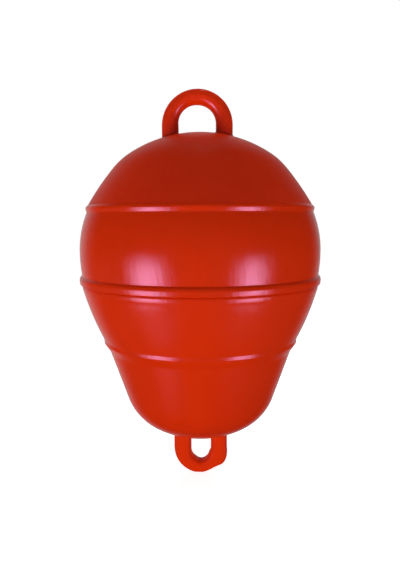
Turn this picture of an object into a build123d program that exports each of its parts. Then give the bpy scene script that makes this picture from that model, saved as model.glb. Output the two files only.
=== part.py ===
from build123d import *
import os

# Pear-shaped mooring buoy: two moulded shells plugged together at a beaded seam, a round-bar
# lifting eye let into the crown and a flatter mooring lug let into the base.
# Millimetres, +Z up. The origin is on the axis, at the middle of the seam bead, which is the
# waterline. Both eyes lie in the XZ plane.

# Rings of the body, from the seam bead inwards
seam_radius = 125.0
seam_bead_proud = 2.6
belly_swell = 1.7
upper_rib_inset = 7.7
lower_rib_inset = 23.3

# Heights and depths of the body from the seam
belly_height = 28.5
upper_rib_height = 72.2
crown_height = 149.1
lower_rib_depth = 65.0
base_depth = 169.9
wall = 3.5

# Seam bead of the upper shell, with the socket inside it
seam_bead_half = 5.0
socket_wall = 4.0
socket_height = 9.0
socket_bevel = 2.0

# Shoulder bead and spigot of the lower shell
shoulder_bead_drop = 5.4
shoulder_bead_proud = 0.35
shoulder_inset = 0.9
spigot_clearance = 0.3
spigot_wall = 3.2
spigot_top_gap = 1.5
cone_bulge = 1.3

# Stiffening rib of the upper shell
upper_rib_land = 3.2
upper_rib_flank = 2.2
upper_rib_root_below = 1.0
upper_rib_root_above = 2.7
rib_edge = 0.8

# Stiffening rib of the lower shell
lower_rib_land = 3.6
lower_rib_underside = 8.6
lower_rib_root = 5.8
lower_rib_round = 1.5

# Crown and base curves, as shares of the radius and height of the run that they bend
crown_knee_shares = (0.645, 0.690)
shoulder_knee_shares = (0.774, 0.506)
base_knee_shares = (0.579, 0.834)
corner_knee_shares = (0.756, 0.658)
cone_foot_shares = (0.814, 0.538)

# Top eye, a round bar bent to a U
top_bar = 17.0
top_eye_span = 57.0
top_eye_rise = 44.1
top_eye_offset = -2.8
collar_rise = 2.4
collar_width = 2.4
collar_land = 0.9

# Bottom eye, a flat lug
lug_width = 57.3
lug_side_bar = 16.7
lug_end_bar = 12.2
lug_depth = 18.0
lug_drop = 44.2
lug_edge = 3.0

# Feet that hold the eyes under the thick middles of the crown and base
leg_clearance = 0.3
crown_thick = 12.9
base_thick = 11.0
foot_thick = 5.0
foot_overhang = 3.4
foot_room = 1.0

overrun = 20.0

seam_root = seam_radius - seam_bead_proud
belly_radius = seam_root + belly_swell
socket_radius = seam_root - socket_wall
upper_rib_radius = seam_radius - upper_rib_inset
lower_rib_radius = seam_radius - lower_rib_inset
rib_low = upper_rib_height - upper_rib_land / 2
rib_high = upper_rib_height + upper_rib_land / 2
rib_root_low = (upper_rib_radius - upper_rib_root_below, rib_low - upper_rib_flank)
rib_root_high = (upper_rib_radius - upper_rib_root_above, rib_high + upper_rib_flank)
cone_top = (seam_root - shoulder_inset, -seam_bead_half - shoulder_bead_drop)
cone_end = (lower_rib_radius, -lower_rib_depth + lower_rib_land)
lower_rib_low = (lower_rib_radius - lower_rib_root, -lower_rib_depth - lower_rib_underside)
crown_landing = crown_height - crown_thick
base_landing = base_depth - base_thick


def between(start, end, shares):
    """A point given by its shares of the radius and height from the axis point start to end."""
    return (end[0] * shares[0], end[1] + (start[1] - end[1]) * shares[1])


def capped_run(tip, end, knees):
    """Tangent arcs from the axis point tip, square to the axis there, through the knees to end."""
    edges = []
    here = (0, tip)
    heading = Vector(1, 0)
    for shares in knees:
        there = between((0, tip), end, shares)
        edges.append(TangentArc(here, there, tangent=heading, mode=Mode.PRIVATE))
        heading = edges[-1] % 1
        here = there
    edges.append(TangentArc(here, end, tangent=heading, mode=Mode.PRIVATE))
    return edges


def belly_run(seam_point, rib_point, radius):
    """Two arcs that meet upright at the widest ring of the upper shell."""
    widest = (radius, belly_height)
    return [
        TangentArc(widest, seam_point, tangent=(0, -1), mode=Mode.PRIVATE),
        TangentArc(widest, rib_point, tangent=(0, 1), mode=Mode.PRIVATE),
    ]


def upper_rib_run():
    """The upper rib's flat land, its rounded edges and its two flanks."""
    points = [rib_root_low, (upper_rib_radius, rib_low), (upper_rib_radius, rib_high), rib_root_high]
    return FilletPolyline(*points, radius=rib_edge, mode=Mode.PRIVATE).edges()


def base_run(end, tip):
    """The rounded base, its corner and the straight cone up to the lower rib."""
    knees = [base_knee_shares, corner_knee_shares]
    foot = between((0, tip), end, cone_foot_shares)
    edges = capped_run(tip, foot, [(k[0] / cone_foot_shares[0], knee_height(k)) for k in knees])
    edges.append(Line(foot, end, mode=Mode.PRIVATE))
    return edges


def knee_height(shares):
    """A knee's height share counted to the foot of the cone instead of to the rib."""
    return (shares[1] - cone_foot_shares[1]) / (1 - cone_foot_shares[1])


def turned(edges, corners):
    """A solid of revolution from outline edges, closed by straight lines through corners."""
    closing = Polyline(*corners, mode=Mode.PRIVATE).edges()
    outline = Wire.combine(edges + list(closing))[0]
    face = Plane.XZ * Face(outline)
    return revolve(face, Axis.Z)


def bead_arc(low, high, crest):
    return ThreePointArc(low, crest, high, mode=Mode.PRIVATE)


def upper_outside():
    """The filled outer form of the upper shell."""
    rim = (seam_root, -seam_bead_half)
    root = (seam_root, seam_bead_half)
    edges = [bead_arc(rim, root, (seam_radius, 0))]
    edges += belly_run(root, rib_root_low, belly_radius)
    edges += upper_rib_run()
    edges += capped_run(crown_height, rib_root_high, [crown_knee_shares, shoulder_knee_shares])
    return turned(edges, [(0, crown_height), (0, -seam_bead_half), rim])


def upper_inside():
    """The hollow of the upper shell, with the socket land at the seam and a flat under the crown."""
    land_top = (socket_radius, socket_height)
    wall_root = (socket_radius + socket_bevel, socket_height + socket_bevel)
    waist = (upper_rib_radius - upper_rib_root_above - wall, upper_rib_height)
    edges = [Line((socket_radius, -seam_bead_half - overrun), land_top, mode=Mode.PRIVATE)]
    edges.append(Line(land_top, wall_root, mode=Mode.PRIVATE))
    edges += belly_run(wall_root, waist, belly_radius - wall)
    edges += capped_run(crown_height - wall, waist, [crown_knee_shares, shoulder_knee_shares])
    low = -seam_bead_half - overrun
    hollow = turned(edges, [(0, crown_height - wall), (0, low), (socket_radius, low)])
    ceiling = Pos(0, 0, crown_landing) * Cylinder(
        belly_radius, crown_height, align=(Align.CENTER, Align.CENTER, Align.MIN)
    )
    return hollow - ceiling


def leg_places():
    return [top_eye_offset + side * top_eye_span / 2 for side in (-1, 1)]


def collar(x):
    """A low cone-shaped collar round one leg of the top eye, sunk well into the crown."""
    lip = top_bar / 2 + collar_land
    rim = crown_surface(x) + collar_rise
    depth = rim - crown_landing
    flare = collar_width * depth / collar_rise
    return Pos(x, 0, rim) * Cone(
        lip + flare, lip, depth, align=(Align.CENTER, Align.CENTER, Align.MAX)
    )


def crown_surface(x):
    """Height of the crown's outer face at a distance from the axis, on its first arc."""
    knee = between((0, crown_height), rib_root_high, crown_knee_shares)
    drop = crown_height - knee[1]
    curve = (knee[0] ** 2 + drop ** 2) / (2 * drop)
    return crown_height - curve + (curve ** 2 - x ** 2) ** 0.5


def upper_shell():
    """The domed upper half: rim bead, upper rib, crown collars and the holes for the top eye."""
    body = upper_outside()
    for x in leg_places():
        body += collar(x)
    body -= upper_inside()
    for x in leg_places():
        body -= Pos(x, 0, crown_landing) * top_leg_hole()
    return body


def top_leg_hole():
    """The hole for one leg of the top eye, with room for its foot under the landing."""
    hole = Cylinder(
        top_bar / 2 + leg_clearance, crown_thick + overrun, align=(Align.CENTER, Align.CENTER, Align.MIN)
    )
    room = Cylinder(
        top_bar / 2 + foot_overhang + foot_room,
        foot_thick + foot_room,
        align=(Align.CENTER, Align.CENTER, Align.MAX),
    )
    return hole + room


def lower_outside():
    """The filled outer form of the lower shell below the seam, without its spigot."""
    top = (seam_root - shoulder_bead_proud, -seam_bead_half)
    crest = ((top[0] + cone_top[0]) / 2 + shoulder_bead_proud, (top[1] + cone_top[1]) / 2)
    middle = ((cone_top[0] + cone_end[0]) / 2 + cone_bulge, (cone_top[1] + cone_end[1]) / 2)
    land_low = (lower_rib_radius, -lower_rib_depth)
    under = FilletPolyline(
        cone_end, land_low, lower_rib_low, radius=lower_rib_round, mode=Mode.PRIVATE
    )
    edges = [
        bead_arc(cone_top, top, crest),
        ThreePointArc(cone_end, middle, cone_top, mode=Mode.PRIVATE),
    ]
    edges += under.edges()
    edges += base_run(lower_rib_low, -base_depth)
    return turned(edges, [(0, -base_depth), (0, -seam_bead_half), top])


def lower_inside():
    """The hollow of the lower shell, open through the spigot, with a flat over the base."""
    bore = socket_radius - spigot_clearance - spigot_wall
    waist = (lower_rib_low[0] - wall, lower_rib_low[1])
    shelf = (bore, cone_top[1])
    edges = [
        Line((bore, socket_height + overrun), shelf, mode=Mode.PRIVATE),
        Line(shelf, waist, mode=Mode.PRIVATE),
    ]
    edges += base_run(waist, -base_depth + wall)
    top = socket_height + overrun
    hollow = turned(edges, [(0, -base_depth + wall), (0, top), (bore, top)])
    floor = Pos(0, 0, -base_landing) * Cylinder(
        belly_radius, base_depth, align=(Align.CENTER, Align.CENTER, Align.MAX)
    )
    return hollow - floor


def spigot():
    """The plain ring that plugs into the upper shell's socket."""
    height = seam_bead_half + socket_height - spigot_top_gap
    return Pos(0, 0, -seam_bead_half) * Cylinder(
        socket_radius - spigot_clearance, height, align=(Align.CENTER, Align.CENTER, Align.MIN)
    )


def lower_shell():
    """The cone-shaped lower half: shoulder bead, spigot, lower rib, rounded base and lug slots."""
    body = lower_outside() + spigot() - lower_inside()
    for x in lug_places():
        body -= Pos(x, 0, -base_landing) * lug_leg_hole()
    return body


def lug_places():
    return [side * (lug_width - lug_side_bar) / 2 for side in (-1, 1)]


def lug_leg_hole():
    """The slot for one leg of the lug, with room for its foot over the landing."""
    slot = RectangleRounded(
        lug_side_bar + 2 * leg_clearance, lug_depth + 2 * leg_clearance, lug_edge + leg_clearance
    )
    return extrude(slot, -base_thick - overrun) + extrude(lug_foot(foot_room), foot_thick + foot_room)


def lug_foot(margin):
    """Outline of a foot of the lug, grown by margin."""
    reach = 2 * (foot_overhang + margin)
    return RectangleRounded(lug_side_bar + reach, lug_depth + reach, lug_edge + margin)


def top_eye():
    """A round bar bent to a U, whose legs pass through the crown and end in round feet."""
    spring = crown_height + top_eye_rise - top_bar / 2 - top_eye_span / 2
    left, right = leg_places()
    path = Wire(
        [
            Line((left, 0, crown_landing), (left, 0, spring), mode=Mode.PRIVATE).edge(),
            ThreePointArc(
                (left, 0, spring),
                (top_eye_offset, 0, spring + top_eye_span / 2),
                (right, 0, spring),
                mode=Mode.PRIVATE,
            ).edge(),
            Line((right, 0, spring), (right, 0, crown_landing), mode=Mode.PRIVATE).edge(),
        ]
    )
    section = Plane(origin=(left, 0, crown_landing), z_dir=(0, 0, 1)) * Circle(top_bar / 2)
    eye = sweep(section, path)
    foot = Cylinder(top_bar / 2 + foot_overhang, foot_thick, align=(Align.CENTER, Align.CENTER, Align.MAX))
    for x in (left, right):
        eye += Pos(x, 0, crown_landing) * foot
    return eye


def bottom_eye():
    """A flat U-shaped lug with softened edges, whose legs pass through the base to two feet."""
    outer = lug_width / 2
    inner = outer - lug_side_bar
    low = -base_depth - lug_drop
    outer_spring = low + outer
    inner_spring = low + lug_end_bar + inner
    edges = [
        Line((-inner, -base_landing), (-outer, -base_landing), mode=Mode.PRIVATE),
        Line((-outer, -base_landing), (-outer, outer_spring), mode=Mode.PRIVATE),
        ThreePointArc((-outer, outer_spring), (0, low), (outer, outer_spring), mode=Mode.PRIVATE),
        Line((outer, outer_spring), (outer, -base_landing), mode=Mode.PRIVATE),
        Line((outer, -base_landing), (inner, -base_landing), mode=Mode.PRIVATE),
        Line((inner, -base_landing), (inner, inner_spring), mode=Mode.PRIVATE),
        ThreePointArc(
            (inner, inner_spring), (0, low + lug_end_bar), (-inner, inner_spring), mode=Mode.PRIVATE
        ),
        Line((-inner, inner_spring), (-inner, -base_landing), mode=Mode.PRIVATE),
    ]
    face = Plane.XZ * Face(Wire.combine(edges)[0])
    lug = extrude(face, lug_depth / 2, both=True)
    top_edges = lug.edges().group_by(Axis.Z)[-1]
    lug = fillet([e for e in lug.edges() if e not in top_edges and abs(e.center().Y) > lug_edge], lug_edge)
    for x in lug_places():
        lug += Pos(x, 0, -base_landing) * extrude(lug_foot(0), foot_thick)
    return lug


os.makedirs("parts", exist_ok=True)
pieces = {
    "upper_shell": upper_shell(),
    "lower_shell": lower_shell(),
    "top_eye": top_eye(),
    "bottom_eye": bottom_eye(),
}
for name, piece in pieces.items():
    export_step(piece, f"parts/{name}.step")
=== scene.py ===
import math

import bpy
import numpy as np
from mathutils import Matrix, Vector


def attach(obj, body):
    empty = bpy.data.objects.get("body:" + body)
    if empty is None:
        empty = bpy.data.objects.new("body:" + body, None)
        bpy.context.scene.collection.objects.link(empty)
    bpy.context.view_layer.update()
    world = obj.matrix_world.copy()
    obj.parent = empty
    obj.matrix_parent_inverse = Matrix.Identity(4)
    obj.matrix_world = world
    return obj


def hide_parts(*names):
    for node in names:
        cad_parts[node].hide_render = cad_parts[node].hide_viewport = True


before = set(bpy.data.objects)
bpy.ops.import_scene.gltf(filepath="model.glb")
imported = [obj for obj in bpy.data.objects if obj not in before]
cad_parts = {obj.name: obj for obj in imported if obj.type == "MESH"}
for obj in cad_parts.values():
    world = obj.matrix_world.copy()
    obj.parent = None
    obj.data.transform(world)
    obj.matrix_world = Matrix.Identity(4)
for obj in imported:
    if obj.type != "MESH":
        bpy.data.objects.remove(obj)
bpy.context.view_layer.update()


# Camera. The buoy is seen from a little above its seam and a little to the right of the plane
# of its eyes, near enough for the rings to curve.
camera_distance = 0.585
camera_rise = 0.0631
camera_turn = math.radians(4.0)
camera_tilt = math.radians(6.934)
camera_roll = math.radians(0.2)
focal_pixels = 555.0
photo_height = 570

camera = bpy.data.objects.new("camera", bpy.data.cameras.new("camera"))
camera.data.sensor_width = 36.0
camera.data.lens = focal_pixels / photo_height * camera.data.sensor_width
camera.location = (
    camera_distance * math.sin(camera_turn),
    -camera_distance * math.cos(camera_turn),
    camera_rise,
)
camera.rotation_euler = (math.pi / 2 - camera_tilt, camera_roll, camera_turn)
bpy.context.scene.collection.objects.link(camera)
bpy.context.scene.camera = camera


# Upper shell. The domed half of the float, moulded in one piece of orange-red polyethylene
# about 3.5 mm thick: a grained crown, a flat stiffening rib, a glossy belly and the thick
# rounded bead that closes over the lower half at the waterline.
seam_radius = 0.1250
seam_root = 0.1224
belly_radius = 0.1241
belly_height = 0.0285
bead_half = 0.0050
bead_low = 0.0044
rib_radius = 0.1173
rib_centre = 0.0722
rib_land = 0.0032
rib_flank = 0.0022
rib_crest = 0.0003
rib_top_step = 0.0027
rib_foot_step = 0.0010
bead_flat_top = 0.0006
bead_flat_foot = 0.0004
bead_chin_inset = 0.0005
bead_chin_depth = 0.0035
crown_height = 0.1491
crown_thick = 0.0129
crown_shares = [(0.645, 0.690), (0.774, 0.506)]
shell_wall = 0.0035
socket_wall = 0.0040
socket_height = 0.0090
socket_slope = 0.0020
turned_sides = 224
lining_stride = 40


def arc(start, end, heading, step=0.0001):
    """Points after start on the arc that leaves start along heading, and its last heading."""
    start, end = np.array(start), np.array(end)
    chord = end - start
    length = np.hypot(*chord)
    turn = math.atan2(
        heading[0] * chord[1] - heading[1] * chord[0], heading[0] * chord[0] + heading[1] * chord[1]
    )
    count = max(2, int(length / step))
    share = np.arange(1, count + 1) / count
    nearly_straight = 1e-6
    bow = np.sin(share * turn) / math.sin(turn) if abs(turn) > nearly_straight else share
    first = math.atan2(heading[1], heading[0])
    angle = first + share * turn
    points = start + length * bow[:, None] * np.stack([np.cos(angle), np.sin(angle)], 1)
    last = first + 2 * turn
    return points, (math.cos(last), math.sin(last))


def moulded(outline, soft=0.0009, step=0.0001, turn=math.radians(5), longest=0.0028):
    """The outline with corners softened as in a mould, with few points where it is straight."""
    outline = np.array(outline)
    run = np.concatenate([[0], np.cumsum(np.hypot(*np.diff(outline, axis=0).T))])
    count = int(run[-1] / step)
    even = np.linspace(0, run[-1], count)
    line = np.stack([np.interp(even, run, outline[:, i]) for i in (0, 1)], 1)
    reach = max(1, int(soft / step / 2))
    padded = np.concatenate(
        [2 * line[0] - line[reach:0:-1], line, 2 * line[-1] - line[-2 : -reach - 2 : -1]]
    )
    sums = np.concatenate([[[0, 0]], np.cumsum(padded, axis=0)])
    line = (sums[2 * reach + 1 :] - sums[: -2 * reach - 1]) / (2 * reach + 1)
    ways = np.unwrap(np.arctan2(*np.diff(line, axis=0).T[::-1]))
    kept, bent, gone = [0], 0.0, 0.0
    for i in range(1, len(line) - 1):
        bent += abs(ways[i] - ways[i - 1])
        gone += step
        if bent > turn or gone > longest:
            kept.append(i)
            bent = gone = 0.0
    return line[kept + [len(line) - 1]]


def turning_tree():
    """Geometry nodes that turn an outline round the upright axis."""
    tree = bpy.data.node_groups.new("Turned shell", "GeometryNodeTree")
    pole_gap = 1e-6
    for name, way, kind in (
        ("Outline", "INPUT", "NodeSocketGeometry"),
        ("Sides", "INPUT", "NodeSocketInt"),
        ("Core radius", "INPUT", "NodeSocketFloat"),
        ("Finish", "INPUT", "NodeSocketMaterial"),
        ("Shell", "OUTPUT", "NodeSocketGeometry"),
    ):
        tree.interface.new_socket(name, in_out=way, socket_type=kind)
    nodes, links = tree.nodes, tree.links
    given = nodes.new("NodeGroupInput")
    ring = nodes.new("GeometryNodeCurvePrimitiveCircle")
    links.new(given.outputs["Sides"], ring.inputs["Resolution"])
    links.new(given.outputs["Core radius"], ring.inputs["Radius"])
    skin = nodes.new("GeometryNodeCurveToMesh")
    links.new(ring.outputs["Curve"], skin.inputs["Curve"])
    links.new(given.outputs["Outline"], skin.inputs["Profile Curve"])
    poles = nodes.new("GeometryNodeMergeByDistance")
    poles.inputs["Distance"].default_value = pole_gap
    links.new(skin.outputs["Mesh"], poles.inputs["Geometry"])
    smooth = nodes.new("GeometryNodeSetShadeSmooth")
    links.new(poles.outputs["Geometry"], smooth.inputs["Geometry"])
    real = nodes.new("GeometryNodeRealizeInstances")
    links.new(smooth.outputs["Geometry"], real.inputs["Geometry"])
    finish = nodes.new("GeometryNodeSetMaterial")
    links.new(real.outputs["Geometry"], finish.inputs["Geometry"])
    links.new(given.outputs["Finish"], finish.inputs["Material"])
    links.new(finish.outputs["Geometry"], nodes.new("NodeGroupOutput").inputs["Shell"])
    return tree


def turned(name, outline, material, core=0.02):
    """A plain mesh piece: the outline, from axis to axis, turned by the geometry nodes, which
    sweep it round a circle whose radius is core."""
    curve = bpy.data.curves.new(name + "_outline", "CURVE")
    curve.dimensions = "3D"
    spline = curve.splines.new("POLY")
    spline.points.add(len(outline) - 1)
    for point, (radius, height) in zip(spline.points, outline):
        point.co = (radius - core, -height, 0, 1)
    drawn = bpy.data.objects.new(name + "_outline", curve)
    bpy.context.scene.collection.objects.link(drawn)
    tree = bpy.data.node_groups.get("Turned shell") or turning_tree()
    turning = drawn.modifiers.new("Turned", "NODES")
    turning.node_group = tree
    given = {"Sides": turned_sides, "Core radius": core, "Finish": material}
    for socket in tree.interface.items_tree:
        if socket.name in given:
            turning[socket.identifier] = given[socket.name]
    graph = bpy.context.evaluated_depsgraph_get()
    mesh = bpy.data.meshes.new_from_object(drawn.evaluated_get(graph), depsgraph=graph)
    bpy.data.objects.remove(drawn)
    mesh.name = name
    piece = bpy.data.objects.new(name, mesh)
    bpy.context.scene.collection.objects.link(piece)
    return piece


def between(start, end, share):
    """The point at these shares of the radius and height from the axis point start to end."""
    return (end[0] * share[0], end[1] + (start[1] - end[1]) * share[1])


def capped(tip, end, shares):
    """Arcs from the axis point tip, square to the axis, through the knees to end."""
    here, heading, points = (0.0, tip), (1.0, 0.0), [np.array([[0.0, tip]])]
    for there in [between((0, tip), end, share) for share in shares] + [end]:
        run, heading = arc(here, there, heading)
        points.append(run)
        here = there
    return np.concatenate(points)


def belly(low, high, radius):
    """Two arcs that meet upright at the widest ring, from the point high down to low."""
    widest = (radius, belly_height)
    up, _ = arc(widest, high, (0, 1))
    down, _ = arc(widest, low, (0, -1))
    return np.concatenate([up[::-1], [widest], down])


rib_top = (rib_radius - rib_top_step, rib_centre + rib_land / 2 + rib_flank)
rib_foot = (rib_radius - rib_foot_step, rib_centre - rib_land / 2 - rib_flank)
rib_face = [
    (rib_radius - rib_crest, rib_centre + rib_land / 2),
    (rib_radius, rib_centre),
    (rib_radius - rib_crest, rib_centre - rib_land / 2),
]
bead_brow, _ = arc((seam_radius, bead_flat_top), (seam_root, bead_half), (0, 1))
bead_face = [
    (seam_radius, bead_flat_foot),
    (seam_radius - bead_chin_inset, -bead_chin_depth),
    (seam_root, -bead_low),
]
upper_outline = np.concatenate(
    [
        capped(crown_height, rib_top, crown_shares),
        rib_face,
        belly((seam_root, bead_half), rib_foot, belly_radius),
        bead_brow[::-1],
        bead_face,
    ]
)
landing = crown_height - crown_thick
socket_radius = seam_root - socket_wall
inner_rib = (rib_top[0] - shell_wall, rib_centre)
socket_top = (socket_radius + socket_slope, socket_height + socket_slope)
vault = capped(crown_height - shell_wall, inner_rib, crown_shares)[::-1][::lining_stride]
upper_lining = np.concatenate(
    [
        [(socket_radius, -bead_low), (socket_radius, socket_height)],
        belly(socket_top, inner_rib, belly_radius - shell_wall)[::-1][::lining_stride],
        np.minimum(vault, (seam_radius, landing)),
        [(0.0, landing)],
    ]
)


def plastic_skin():
    """Node group: cloudy pigment, mould grain, ripples and drawn streaks of a plastic skin."""
    group = bpy.data.node_groups.new("Moulded plastic skin", "ShaderNodeTree")
    nodes, links = group.nodes, group.links
    for name, way, kind in (
        ("Colour", "INPUT", "NodeSocketColor"),
        ("Pale colour", "INPUT", "NodeSocketColor"),
        ("Cloud scale", "INPUT", "NodeSocketFloat"),
        ("Cloud share", "INPUT", "NodeSocketFloat"),
        ("Grain scale", "INPUT", "NodeSocketFloat"),
        ("Grain depth", "INPUT", "NodeSocketFloat"),
        ("Ripple scale", "INPUT", "NodeSocketFloat"),
        ("Ripple depth", "INPUT", "NodeSocketFloat"),
        ("Streak scale", "INPUT", "NodeSocketFloat"),
        ("Streak depth", "INPUT", "NodeSocketFloat"),
        ("Colour", "OUTPUT", "NodeSocketColor"),
        ("Wear", "OUTPUT", "NodeSocketFloat"),
        ("Height", "OUTPUT", "NodeSocketFloat"),
    ):
        group.interface.new_socket(name, in_out=way, socket_type=kind)
    given, out = nodes.new("NodeGroupInput"), nodes.new("NodeGroupOutput")
    place = nodes.new("ShaderNodeTexCoord").outputs["Object"]

    streak_tilt, streak_stretch = math.radians(-9), 16.0
    drawn = nodes.new("ShaderNodeMapping")
    drawn.vector_type = "TEXTURE"
    drawn.inputs["Rotation"].default_value = (0.0, streak_tilt, 0.0)
    drawn.inputs["Scale"].default_value = (1.0, 1.0, streak_stretch)
    links.new(place, drawn.inputs["Vector"])

    def noise(scale, place, detail, rough):
        made = nodes.new("ShaderNodeTexNoise")
        made.inputs["Detail"].default_value = detail
        made.inputs["Roughness"].default_value = rough
        links.new(place, made.inputs["Vector"])
        links.new(given.outputs[scale], made.inputs["Scale"])
        return made.outputs["Fac"]

    def joined(operation, first, second):
        made = nodes.new("ShaderNodeMath")
        made.operation = operation
        links.new(first, made.inputs[0])
        links.new(second, made.inputs[1])
        return made.outputs["Value"]

    cloud = noise("Cloud scale", place, detail=6.0, rough=0.62)
    grain = noise("Grain scale", place, detail=3.0, rough=0.55)
    ripple = noise("Ripple scale", place, detail=2.0, rough=0.45)
    streak = noise("Streak scale", drawn.outputs["Vector"], detail=3.0, rough=0.6)
    cloud_low, cloud_middle, cloud_high = 0.38, 0.5, 0.72
    spread = nodes.new("ShaderNodeMapRange")
    spread.inputs["From Min"].default_value = cloud_low
    spread.inputs["From Max"].default_value = cloud_high
    links.new(cloud, spread.inputs["Value"])
    paleness = joined("MULTIPLY", spread.outputs["Result"], given.outputs["Cloud share"])
    mix = nodes.new("ShaderNodeMix")
    mix.data_type = "RGBA"
    links.new(paleness, mix.inputs[0])
    links.new(given.outputs["Colour"], mix.inputs[6])
    links.new(given.outputs["Pale colour"], mix.inputs[7])
    links.new(mix.outputs[2], out.inputs["Colour"])
    worn = nodes.new("ShaderNodeMath")
    worn.operation = "SUBTRACT"
    links.new(cloud, worn.inputs[0])
    worn.inputs[1].default_value = cloud_middle
    links.new(worn.outputs["Value"], out.inputs["Wear"])
    grained = joined("MULTIPLY", grain, given.outputs["Grain depth"])
    rippled = joined("MULTIPLY", ripple, given.outputs["Ripple depth"])
    streaked = joined("MULTIPLY", streak, given.outputs["Streak depth"])
    height = joined("ADD", joined("ADD", grained, rippled), streaked)
    links.new(height, out.inputs["Height"])
    return group


plastic_ior = 1.52
gloss_tint = (1.0, 0.54, 1.0, 1.0)
bump_distance = 0.001


def plastic(
    name, colour, pale, gloss, grain, ripple, cloud, streak=(200.0, 0.0), shine=0.5, wear=0.06
):
    """A moulded plastic. grain, ripple and streak are a scale and a depth, cloud a scale and a
    share of the pale colour, gloss the roughness and wear how far the cloud changes it."""
    material = bpy.data.materials.new(name)
    material.use_nodes = True
    nodes, links = material.node_tree.nodes, material.node_tree.links
    shader = nodes["Principled BSDF"]
    shader.inputs["IOR"].default_value = plastic_ior
    shader.inputs["Specular IOR Level"].default_value = shine
    shader.inputs["Specular Tint"].default_value = gloss_tint
    skin = nodes.new("ShaderNodeGroup")
    skin.node_tree = bpy.data.node_groups.get("Moulded plastic skin") or plastic_skin()
    for socket, value in (
        ("Colour", (*colour, 1.0)),
        ("Pale colour", (*pale, 1.0)),
        ("Cloud scale", cloud[0]),
        ("Cloud share", cloud[1]),
        ("Grain scale", grain[0]),
        ("Grain depth", grain[1]),
        ("Ripple scale", ripple[0]),
        ("Ripple depth", ripple[1]),
        ("Streak scale", streak[0]),
        ("Streak depth", streak[1]),
    ):
        skin.inputs[socket].default_value = value
    rough = nodes.new("ShaderNodeMath")
    rough.operation = "MULTIPLY_ADD"
    links.new(skin.outputs["Wear"], rough.inputs[0])
    rough.inputs[1].default_value = wear
    rough.inputs[2].default_value = gloss
    bump = nodes.new("ShaderNodeBump")
    bump.inputs["Strength"].default_value = 1.0
    bump.inputs["Distance"].default_value = bump_distance
    links.new(skin.outputs["Height"], bump.inputs["Height"])
    links.new(bump.outputs["Normal"], shader.inputs["Normal"])
    links.new(skin.outputs["Colour"], shader.inputs["Base Color"])
    links.new(rough.outputs["Value"], shader.inputs["Roughness"])
    return material


float_red = (0.65, 0.0255, 0.0005)
float_pale = (0.68, 0.031, 0.0009)
crown_red = (0.6305, 0.02346, 0.0005)
crown_pale = (0.6596, 0.02852, 0.0009)
float_moulding = {"ripple": (34.0, 0.40), "cloud": (30.0, 0.45), "streak": (450.0, 0.20)}
matt_rise = 0.0018

shell_finish = plastic(
    "orange-red polyethylene",
    float_red,
    float_pale,
    gloss=0.17,
    grain=(900.0, 0.012),
    **float_moulding,
)
crown_finish = plastic(
    "matt orange-red polyethylene",
    crown_red,
    crown_pale,
    gloss=0.36,
    grain=(900.0, 0.09),
    shine=0.22,
    wear=0.0,
    **float_moulding,
)
upper_shell = turned(
    "upper_shell_skin", np.concatenate([moulded(upper_outline), upper_lining]), shell_finish
)
# the crown, from the top of the rib up, comes matt out of its mould
upper_shell.data.materials.append(crown_finish)
for polygon in upper_shell.data.polygons:
    polygon.material_index = int(polygon.center.z > rib_centre + rib_land / 2 + matt_rise)
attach(upper_shell, "root")
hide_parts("upper_shell")


# Lower shell. The cone-shaped half, moulded in the same polyethylene, whose spigot plugs into
# the upper half. A small shoulder shows under the seam bead, and a stiffening rib with a long
# underside stands about two fifths of the way down.
cone_top = (0.1214, -0.0104)
cone_bow = 0.0013
shoulder_top = (0.1224, -bead_low)
shoulder_foot = (0.1216, -0.0101)
shoulder_bow = 0.0002
lower_rib_radius = 0.1017
lower_rib_edge = -0.0650
lower_rib_land = 0.0036
lower_rib_step = 0.0058
lower_rib_underside = 0.0086
base_depth = 0.1699
base_landing = 0.1589
base_shares = [(0.579, 0.834), (0.756, 0.658)]
cone_foot_share = (0.814, 0.538)
spigot_clearance = 0.0003
spigot_wall = 0.0032
spigot_height = 0.0075

lower_rib_top = (lower_rib_radius, lower_rib_edge + lower_rib_land)
lower_rib_foot = (lower_rib_radius - lower_rib_step, lower_rib_edge - lower_rib_underside)


def bowed(start, end, bow, count=60):
    """A shallow arc from start down to end that stands out by bow at its middle."""
    share = np.linspace(0, 1, count)[:, None]
    line = np.array(start) * (1 - share) + np.array(end) * share
    out = np.array([start[1] - end[1], end[0] - start[0]])
    return line + out / np.hypot(*out) * bow * 4 * share * (1 - share)


def cupped(tip, end):
    """The rounded base from the axis point tip to the foot of the cone, then the cone to end."""
    foot = between((0, tip), end, cone_foot_share)
    foot_out, foot_up = cone_foot_share
    shares = [(out / foot_out, (up - foot_up) / (1 - foot_up)) for out, up in base_shares]
    return np.concatenate([capped(tip, foot, shares), [end]])


lower_outline = np.concatenate(
    [
        bowed(shoulder_top, shoulder_foot, shoulder_bow),
        bowed(cone_top, lower_rib_top, cone_bow),
        [(lower_rib_radius, lower_rib_edge)],
        cupped(-base_depth, lower_rib_foot)[::-1],
    ]
)
spigot_radius = socket_radius - spigot_clearance
spigot_inside = spigot_radius - spigot_wall
inner_foot = (lower_rib_foot[0] - shell_wall, lower_rib_foot[1])
cup = np.maximum(cupped(-base_depth + shell_wall, inner_foot), (0.0, -base_landing))
lower_lining = np.concatenate(
    [
        cup[::lining_stride],
        [inner_foot, (spigot_inside, cone_top[1]), (spigot_inside, spigot_height)],
        [(spigot_radius, spigot_height), (spigot_radius, -bead_low)],
    ]
)
lower_shell = turned(
    "lower_shell_skin", np.concatenate([lower_lining, moulded(lower_outline)]), shell_finish
)
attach(lower_shell, "root")
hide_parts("lower_shell")


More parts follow.
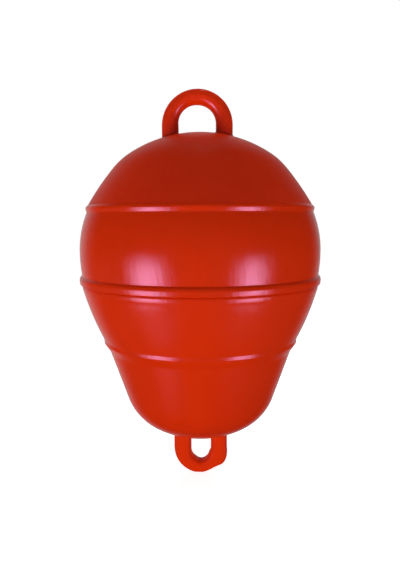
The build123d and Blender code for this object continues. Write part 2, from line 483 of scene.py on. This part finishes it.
# Lifting eye. A round bar of solid polyethylene bent to a U, whose legs go down through the
# crown and are held by round feet under it.
bar_radius = 0.0087
eye_radius = 0.0278
arch_thinning = 0.0006
left_thinning_share = 0.5
eye_offset = -0.0026
eye_top = 0.1932
foot_radius = 0.0119
foot_thick = 0.0050
bar_sides = 64
loft_corner = math.radians(45)
arch_rings = 97
leg_rings = 9
# the eye's red is made lighter than the shell's same polyethylene: painted light for the extra
# light that falls on its legs
eye_red_with_painted_light = (0.85, 0.033, 0.0006)
eye_pale = (0.66, 0.030, 0.0020)


def meshed(name, points, faces, material, corner):
    """A plain mesh piece, smooth but for its edges that turn by more than corner."""
    mesh = bpy.data.meshes.new(name)
    mesh.from_pydata(points, [], faces)
    mesh.polygons.foreach_set("use_smooth", [True] * len(mesh.polygons))
    mesh.set_sharp_from_angle(angle=corner)
    mesh.materials.append(material)
    piece = bpy.data.objects.new(name, mesh)
    bpy.context.scene.collection.objects.link(piece)
    return piece


def lofted(name, rings, material):
    """A closed piece through rings of points, capped at both ends."""
    rings = np.array(rings)
    count, around = rings.shape[:2]
    faces = [tuple(range(around))[::-1], tuple(range((count - 1) * around, count * around))]
    for low in range(0, (count - 1) * around, around):
        high = low + around
        for j in range(around):
            k = (j + 1) % around
            faces.append((low + j, low + k, high + k, high + j))
    return meshed(name, rings.reshape(-1, 3).tolist(), faces, material, loft_corner)


eye_spring = eye_top - bar_radius - eye_radius
around_bar = np.linspace(0, 2 * math.pi, bar_sides, endpoint=False)


def bar_ring(x, z, lean, radius):
    """A ring of the bar round the point (x, z) of its middle line, leaning from upright."""
    out = np.cos(around_bar) * radius
    return np.stack(
        [x + out * math.cos(lean), np.sin(around_bar) * radius, z - out * math.sin(lean)], 1
    )


# height and radius of each ring of a leg, from its foot up to the spring of the arch
leg_profile = [
    (landing - foot_thick, foot_radius),
    (landing, foot_radius),
    (landing, bar_radius),
] + [(z, bar_radius) for z in np.linspace(landing, eye_spring, leg_rings)[1:-1]]
left_leg = [bar_ring(eye_offset - eye_radius, z, 0.0, radius) for z, radius in leg_profile]
arch = []
for turn in np.linspace(0, math.pi, arch_rings):
    left_share = left_thinning_share * max(0.0, math.sin(2 * turn))
    thinner = arch_thinning * (math.sin(turn) + left_share)
    reach = eye_radius + thinner
    x, z = eye_offset - reach * math.cos(turn), eye_spring + reach * math.sin(turn)
    arch.append(bar_ring(x, z, turn, bar_radius - thinner))
right_leg = [ring * (-1, 1, 1) + (2 * eye_offset, 0, 0) for ring in left_leg[::-1]]
# its colour is a lighter copy of the shell's red, painted light for the light on the bar
eye_finish = plastic(
    "lifting eye polyethylene",
    eye_red_with_painted_light,
    eye_pale,
    gloss=0.24,
    grain=(700.0, 0.035),
    ripple=(70.0, 0.20),
    cloud=(60.0, 0.5),
)
lifting_eye = lofted("lifting_eye", left_leg + arch + right_leg, eye_finish)
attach(lifting_eye, "root")
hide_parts("top_eye")


# Crown collars. Low raised rims that the mould leaves round the two holes of the crown, flared
# into the dome, where the legs of the lifting eye go in.
collar_inner = 0.0088
collar_outer = 0.0133
collar_rise = 0.0022
collar_flare = 2.4
collar_lip_share = 0.55
collar_lip_slope = 9
collar_sink = 0.00025
collar_depth = 0.003
collar_steps = 15
collar_corner = math.radians(60)
crown_knee = between((0, crown_height), rib_top, crown_shares[0])
knee_drop = crown_height - crown_knee[1]
crown_curve = (crown_knee[0] ** 2 + knee_drop**2) / (2 * knee_drop)


def crown_level(x, y):
    """The height of the dome over the point (x, y)."""
    return crown_height - crown_curve + np.sqrt(crown_curve**2 - x**2 - y**2)


def collar_rings(x):
    """Rings of a closed collar round the leg at x, from its lip out into the dome and back."""
    rings = []
    for share in np.linspace(0, 1, collar_steps):
        reach = collar_inner + (collar_outer - collar_inner) * share
        lip = min(1.0, collar_lip_share + share * collar_lip_slope)
        rise = collar_rise * (1 - share) ** collar_flare * lip - collar_sink * share
        px, py = x + reach * np.cos(around_bar), reach * np.sin(around_bar)
        rings.append(np.stack([px, py, crown_level(px, py) + rise], 1))
    sunk = [ring - (0, 0, collar_depth) for ring in (rings[-1], rings[0])]
    return rings + sunk


def collar_mesh(name, places, material):
    """One mesh of closed collars, one round each leg."""
    points, faces = [], []
    for x in places:
        rings = collar_rings(x)
        base, around = len(points), len(around_bar)
        points += np.concatenate(rings).tolist()
        for i in range(len(rings)):
            here, after = base + i * around, base + (i + 1) % len(rings) * around
            for j in range(around):
                k = (j + 1) % around
                faces.append((here + j, after + j, after + k, here + k))
    return meshed(name, points, faces, material, collar_corner)


crown_collars = collar_mesh(
    "crown_collars", [eye_offset - eye_radius, eye_offset + eye_radius], crown_finish
)
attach(crown_collars, "root")


# Mooring lug. The lower eye, a flatter loop of solid polyethylene with well rounded edges,
# thicker at its sides than at its end, whose legs go up through the base to two feet.
lug_half = 0.02865
lug_side_bar = 0.0174
lug_end_bar = 0.0122
lug_half_depth = 0.0090
lug_low = 0.2141
lug_round = 0.0050
lug_foot = 0.0034
lug_bow = 0.0008
lug_bow_length = 0.0045
lug_bow_step = 0.0010
lug_lean = 0.0007
lug_corner_points = 10
right_leg_rings = 9
right_bow_rings = 5
left_leg_rings = 12
loop_rings = 73
lug_inner = lug_half - lug_side_bar
inner_spring = -lug_low + lug_end_bar + lug_inner
outer_spring = -lug_low + lug_half
foot_top = -base_landing + foot_thick
lug_red = (0.72, 0.032, 0.0006)
lug_pale = (0.74, 0.036, 0.0010)


def lug_ring(inner, outer, half_depth=lug_half_depth, corner=lug_round):
    """A rounded oblong section between an inner and an outer point of the loop."""
    inner, outer = np.array(inner), np.array(outer)
    middle, half = (inner + outer) / 2, np.hypot(*(outer - inner)) / 2
    way = (outer - inner) / (2 * half)
    ring = []
    for quarter, sx, sy in ((0, 1, 1), (1, -1, 1), (2, -1, -1), (3, 1, -1)):
        for turn in np.linspace(quarter, quarter + 1, lug_corner_points) * math.pi / 2:
            across = middle + way * (sx * (half - corner) + corner * math.cos(turn))
            ring.append((*across, sy * (half_depth - corner) + corner * math.sin(turn)))
    return np.array(ring)[::-1, [0, 2, 1]]


def outer_width(z):
    """How far the outside of a leg stands from the lug's middle at height z."""
    drop = min(0.0, z - outer_spring)
    return math.sqrt(lug_half**2 - drop**2)


def lug_foot_ring(side, z):
    """A section of the foot of the right leg for side 1, or of the left for side -1."""
    inner, outer = side * (lug_inner - lug_foot), side * (lug_half + lug_foot)
    return lug_ring((inner, z), (outer, z), lug_half_depth + lug_foot)


right_lug_leg = [lug_foot_ring(1, z) for z in (foot_top, -base_landing)]
bow_top = inner_spring + lug_bow_length
for z in [
    *np.linspace(-base_landing, bow_top, right_leg_rings),
    *np.linspace(bow_top - lug_bow_step, inner_spring, right_bow_rings),
]:
    bow = lug_bow * max(0.0, 1 - (z - inner_spring) / lug_bow_length) ** 2
    right_lug_leg.append(lug_ring((lug_inner - bow, z), (outer_width(z) + bow, z)))
# angle down from the right leg, and how far the loop swells there outward and into its hole
lug_swell = np.array(
    [
        (0, 0.0008, 0.0008),
        (8, 0.0015, 0.0015),
        (16, 0.0020, 0.0020),
        (28, 0.0019, 0.0018),
        (37, -0.0002, 0.0016),
        (49, -0.0014, 0.0013),
        (64, -0.0010, 0.0008),
        (85, 0.0001, 0.0001),
        (100, 0.0006, 0.0003),
        (120, 0.0005, 0.0010),
        (150, 0.0004, 0.0009),
        (180, 0.0000, 0.0007),
    ]
)
lug_turns = np.linspace(0, math.pi, loop_rings)
soften = np.array([1, 2, 3, 2, 1]) / 9


def softened(swell):
    """The swell at every turn of the loop, read from the table and smoothed."""
    values = np.interp(np.degrees(lug_turns), lug_swell[:, 0], swell)
    return np.convolve(np.pad(values, len(soften) // 2, "edge"), soften, "valid")


loop = []
loop_centre = np.array([0.0, inner_spring])
spring_gap = loop_centre - (0.0, outer_spring)
swells = zip(lug_turns, softened(lug_swell[:, 1]), softened(lug_swell[:, 2]))
for turn, swell, fill in list(swells)[1:-1]:
    way = np.array([math.cos(turn), -math.sin(turn)])
    along = spring_gap @ way
    reach = -along + math.sqrt(along**2 - spring_gap @ spring_gap + lug_half**2)
    x, z = loop_centre + way * (reach + swell)
    loop.append(lug_ring(loop_centre + way * (lug_inner - fill), (x, max(z, -lug_low))))
left_lug_leg = [
    lug_ring((lug_lean - lug_inner, z), (-outer_width(z), z))
    for z in np.linspace(inner_spring, -base_landing, left_leg_rings)
] + [lug_foot_ring(-1, z) for z in (-base_landing, foot_top)]
lug_finish = plastic(
    "mooring lug polyethylene",
    lug_red,
    lug_pale,
    gloss=0.42,
    grain=(700.0, 0.03),
    ripple=(70.0, 0.20),
    cloud=(60.0, 0.5),
    shine=0.06,
)
mooring_lug = lofted("mooring_lug", right_lug_leg + loop + left_lug_leg, lug_finish)
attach(mooring_lug, "root")
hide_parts("bottom_eye")


# Studio. A pale floor just under the lug and white all round for the camera. Two soft boxes low
# in front, with a faint card under each, show in the gloss, in a space kept dark in front, and
# three lamps that the gloss doesn't show fill the side, the crown and the back.
floor_level = -0.2147
floor_reach = 4.0
floor_sides = 96
paper_white = (0.86, 0.86, 0.86, 1.0)
paper_roughness = 0.9
paper_shine = 0.1
paper_glow = 0.86
white = (1.0, 1.0, 1.0, 1.0)

floor_mesh = bpy.data.meshes.new("studio_floor")
floor_points = [
    (floor_reach * math.cos(angle), floor_reach * math.sin(angle), floor_level)
    for angle in np.linspace(0, 2 * math.pi, floor_sides, endpoint=False)
]
floor_mesh.from_pydata(floor_points, [], [tuple(range(floor_sides))])
floor = bpy.data.objects.new("studio_floor", floor_mesh)
bpy.context.scene.collection.objects.link(floor)
paper = bpy.data.materials.new("white paper")
paper.use_nodes = True
nodes, links = paper.node_tree.nodes, paper.node_tree.links
paper_shader = nodes["Principled BSDF"]
paper_shader.inputs["Base Color"].default_value = paper_white
paper_shader.inputs["Roughness"].default_value = paper_roughness
paper_shader.inputs["Specular IOR Level"].default_value = paper_shine
paper_shader.inputs["Emission Color"].default_value = white
seen = nodes.new("ShaderNodeLightPath")
glow = nodes.new("ShaderNodeMath")
glow.operation = "MULTIPLY"
glow.inputs[1].default_value = paper_glow
links.new(seen.outputs["Is Camera Ray"], glow.inputs[0])
links.new(glow.outputs["Value"], paper_shader.inputs["Emission Strength"])
floor_mesh.materials.append(paper)
floor.visible_glossy = False
floor.visible_shadow = False

# The world's strength: in the gloss it is dark in front and bright straight behind the buoy,
# from the cosine behind_edge on; in the colour it is a weak fill, and to the camera it is white.
front_dark = 0.01
behind_bright = 0.50
behind_edge = 0.50
behind_turn = camera_turn + math.radians(6)
colour_fill = 0.20
camera_white = 1.0

world = bpy.data.worlds.new("studio")
world.use_nodes = True
bpy.context.scene.world = world
nodes, links = world.node_tree.nodes, world.node_tree.links
sky = nodes["Background"]
sky.inputs["Color"].default_value = white
heading = nodes.new("ShaderNodeTexCoord")
away_part = nodes.new("ShaderNodeVectorMath")
away_part.operation = "DOT_PRODUCT"
links.new(heading.outputs["Generated"], away_part.inputs[0])
away_part.inputs[1].default_value = (-math.sin(behind_turn), math.cos(behind_turn), 0.0)
behind = nodes.new("ShaderNodeMapRange")
behind.interpolation_type = "SMOOTHSTEP"
behind.inputs["From Min"].default_value = behind_edge
behind.inputs["From Max"].default_value = 1.0
behind.inputs["To Min"].default_value = front_dark
behind.inputs["To Max"].default_value = behind_bright
links.new(away_part.outputs["Value"], behind.inputs["Value"])
rays = nodes.new("ShaderNodeLightPath")
fill = nodes.new("ShaderNodeMix")
links.new(rays.outputs["Is Glossy Ray"], fill.inputs[0])
fill.inputs[2].default_value = colour_fill
links.new(behind.outputs["Result"], fill.inputs[3])
shown = nodes.new("ShaderNodeMix")
links.new(rays.outputs["Is Camera Ray"], shown.inputs[0])
links.new(fill.outputs[0], shown.inputs[2])
shown.inputs[3].default_value = camera_white
links.new(shown.outputs[0], sky.inputs["Strength"])

lamp_distance = 0.85
lamp_middle = 0.5


def soft_box(name, azimuth, elevation, width, tall, radiance, diffuse, glossy):
    """A lamp at angles from the camera's side, bright in its middle and fading to its edges."""
    lamp = bpy.data.lights.new(name, "AREA")
    lamp.shape = "RECTANGLE"
    lamp.size, lamp.size_y = width, tall
    lamp.energy = radiance * math.pi * width * tall
    lamp.use_nodes = True
    nodes, links = lamp.node_tree.nodes, lamp.node_tree.links
    cloth = nodes["Emission"]
    spot = nodes.new("ShaderNodeNewGeometry")
    sides = nodes.new("ShaderNodeSeparateXYZ")
    links.new(spot.outputs["Parametric"], sides.inputs["Vector"])
    fades = []
    for axis, flat in (("X", 0.0), ("Y", 0.06)):
        off = nodes.new("ShaderNodeMath")
        off.operation = "SUBTRACT"
        links.new(sides.outputs[axis], off.inputs[0])
        off.inputs[1].default_value = lamp_middle
        far = nodes.new("ShaderNodeMath")
        far.operation = "ABSOLUTE"
        links.new(off.outputs["Value"], far.inputs[0])
        fade = nodes.new("ShaderNodeMapRange")
        fade.interpolation_type = "SMOOTHSTEP"
        fade.inputs["From Min"].default_value = lamp_middle
        fade.inputs["From Max"].default_value = flat
        links.new(far.outputs["Value"], fade.inputs["Value"])
        fades.append(fade.outputs["Result"])
    both = nodes.new("ShaderNodeMath")
    both.operation = "MULTIPLY"
    links.new(fades[0], both.inputs[0])
    links.new(fades[1], both.inputs[1])
    links.new(both.outputs["Value"], cloth.inputs["Strength"])
    made = bpy.data.objects.new(name, lamp)
    turn, lift = camera_turn + math.radians(azimuth), math.radians(elevation)
    away = Vector(
        (math.sin(turn) * math.cos(lift), -math.cos(turn) * math.cos(lift), math.sin(lift))
    )
    made.location = away * lamp_distance
    made.rotation_euler = (-away).to_track_quat("-Z", "Y").to_euler()
    made.visible_camera = False
    made.visible_diffuse, made.visible_glossy = diffuse, glossy
    bpy.context.scene.collection.objects.link(made)


# name, azimuth, elevation, width, height, radiance, lights the colour, shows in the gloss
for lamp_row in (
    ("soft_box_left", -46, -17, 0.70, 0.66, 9.9, True, True),
    ("soft_box_right", 45, -17, 0.58, 0.66, 9.6, True, True),
    ("low_card_left", -46, -44, 0.60, 0.44, 0.45, False, True),
    ("low_card_right", 45, -44, 0.60, 0.44, 0.10, False, True),
    ("side_fill", -92, -22, 0.60, 0.60, 4.6, True, False),
    ("top_light", 180, 76, 0.20, 0.20, 81.0, True, False),
    ("back_fill", 170, 4, 0.30, 0.30, 15.0, True, False),
):
    soft_box(*lamp_row)

bpy.context.scene.view_settings.view_transform = "Standard"
